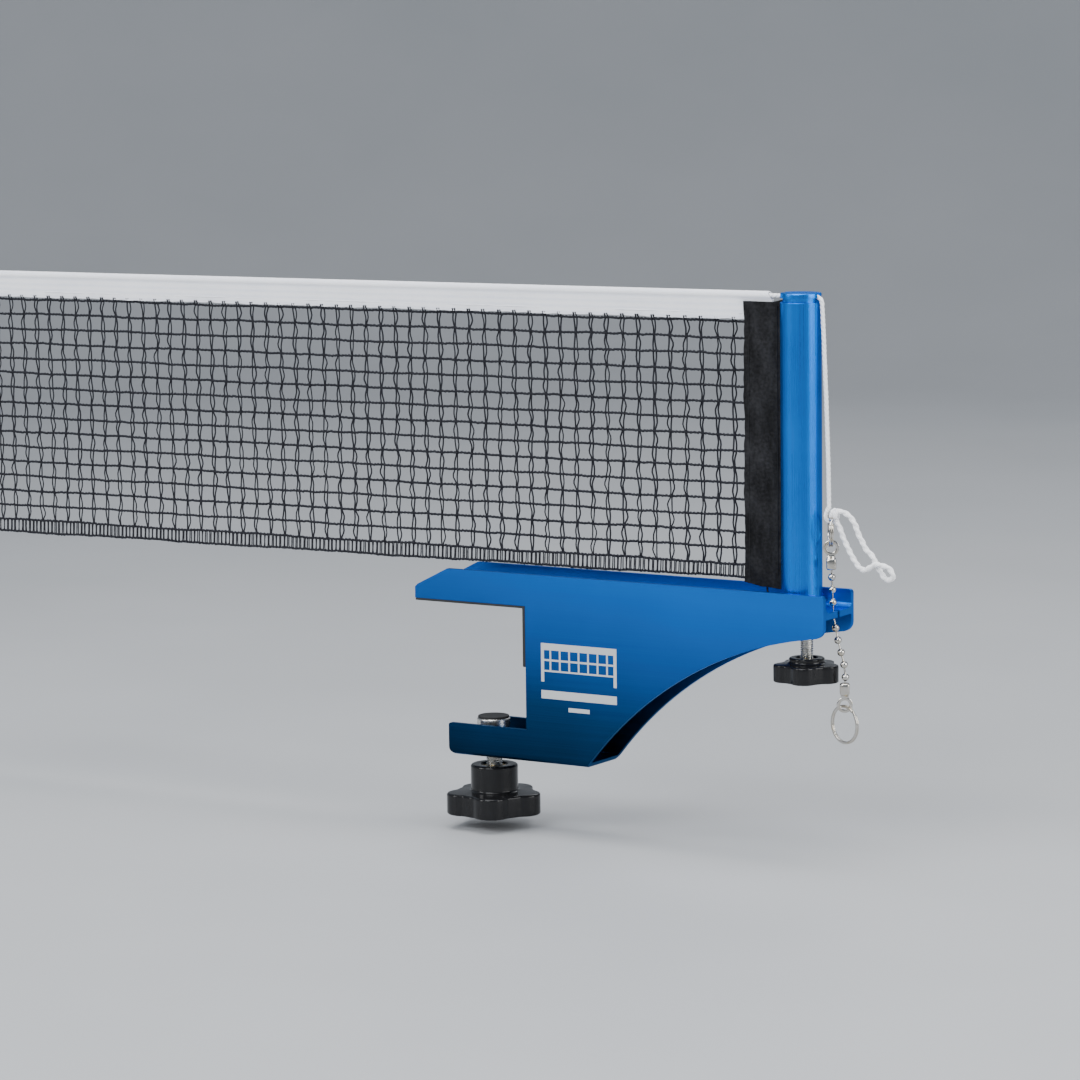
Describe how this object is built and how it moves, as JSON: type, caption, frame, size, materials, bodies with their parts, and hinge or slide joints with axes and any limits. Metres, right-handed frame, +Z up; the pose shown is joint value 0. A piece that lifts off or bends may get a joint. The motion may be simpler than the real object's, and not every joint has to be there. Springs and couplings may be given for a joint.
{
  "type": "table tennis net clamp",
  "caption": "Screw-on table tennis net clamp: aluminium bracket, height-adjustable post, cord and bead-chain tensioner, and the end of the net.",
  "frame": {"origin": "on the table's top surface, at the middle of its side edge where the clamp sits: z = 0 is the underside of the rubber seat", "axes": "+X outwards from the table to the post, +Y along the table's side edge, +Z up"},
  "size_m": [0.5257, 0.045, 0.255],
  "materials": {
    "blue_anodised": "brushed, blue anodised",
    "post_anodised": "satin, blue anodised",
    "black_rubber": "matte",
    "zinc_steel": "zinc plated",
    "spring_steel": "phosphated",
    "black_gloss": "moulded, glossy",
    "knob_brass": "turned",
    "fibre_rod": "smooth",
    "sleeve_fabric": "woven, matte",
    "white_tape": "woven cotton",
    "net_thread": "knotted twisted thread",
    "tie_string": "twisted",
    "white_cord": "twisted cotton cord",
    "chain_nickel": "nickel plated"
  },
  "bodies": {
    "bracket": {"bracket": "blue_anodised", "seat_pad": "black_rubber", "clamp_nut": "zinc_steel", "guide_spigot": "zinc_steel", "spigot_nut": "zinc_steel", "tension_cord": "white_cord", "cord_knot": "white_cord", "cord_bow": "white_cord", "top_ring": "chain_nickel", "top_connector": "chain_nickel", "chain_upper": "chain_nickel"},
    "pad": {"pressure_pad": "zinc_steel", "pad_facing": "black_rubber"},
    "clamp_screw": {"clamp_screw": "zinc_steel", "pad_clip": "spring_steel", "clamp_knob": "black_gloss", "clamp_knob_bush": "knob_brass"},
    "post": {"post_tube": "post_anodised", "post_cap": "post_anodised", "lift_plug": "zinc_steel", "sleeve_rod": "fibre_rod", "net_sleeve": "sleeve_fabric", "net_tape": "white_tape", "net_mesh": "net_thread", "bottom_tie": "tie_string"},
    "height_screw": {"height_screw": "zinc_steel", "height_knob": "black_gloss", "height_knob_bush": "knob_brass"},
    "chain_tail": {"chain_tail": "chain_nickel", "tail_connector": "chain_nickel"},
    "key_ring": {"key_ring": "chain_nickel"}
  },
  "joints": [
    {"name": "pad_travel", "type": "slide", "parent": "bracket", "child": "pad", "axis": [0, 0, 1], "range_m": [-0.006, 0.005]},
    {"name": "clamp_turn", "type": "hinge", "parent": "pad", "child": "clamp_screw", "pos_m": [-0.0255, 0, -0.07], "axis": [0, 0, 1], "range_deg": [-1728, 1440]},
    {"name": "post_height", "type": "slide", "parent": "bracket", "child": "post", "axis": [0, 0, 1], "range_m": [-0.002, 0.007], "deforming": ["tension_cord"]},
    {"name": "height_turn", "type": "hinge", "parent": "post", "child": "height_screw", "pos_m": [0.1455, 0, 0], "axis": [0, 0, 1], "range_deg": [-720, 2520]},
    {"name": "chain_swing", "type": "hinge", "parent": "bracket", "child": "chain_tail", "pos_m": [0.1593, 0, 0.00605], "axis": [0, -1, 0], "range_deg": [0, 60]},
    {"name": "ring_swing", "type": "hinge", "parent": "chain_tail", "child": "key_ring", "pos_m": [0.165, 0, -0.0362], "axis": [0.342, 0.9397, 0], "range_deg": [-20, 20]}
  ],
  "couplings": [
    {"joint": "clamp_turn", "follows": "pad_travel", "rad_per_m": 5026.5},
    {"joint": "height_turn", "follows": "post_height", "rad_per_m": 6283.1}
  ]
}
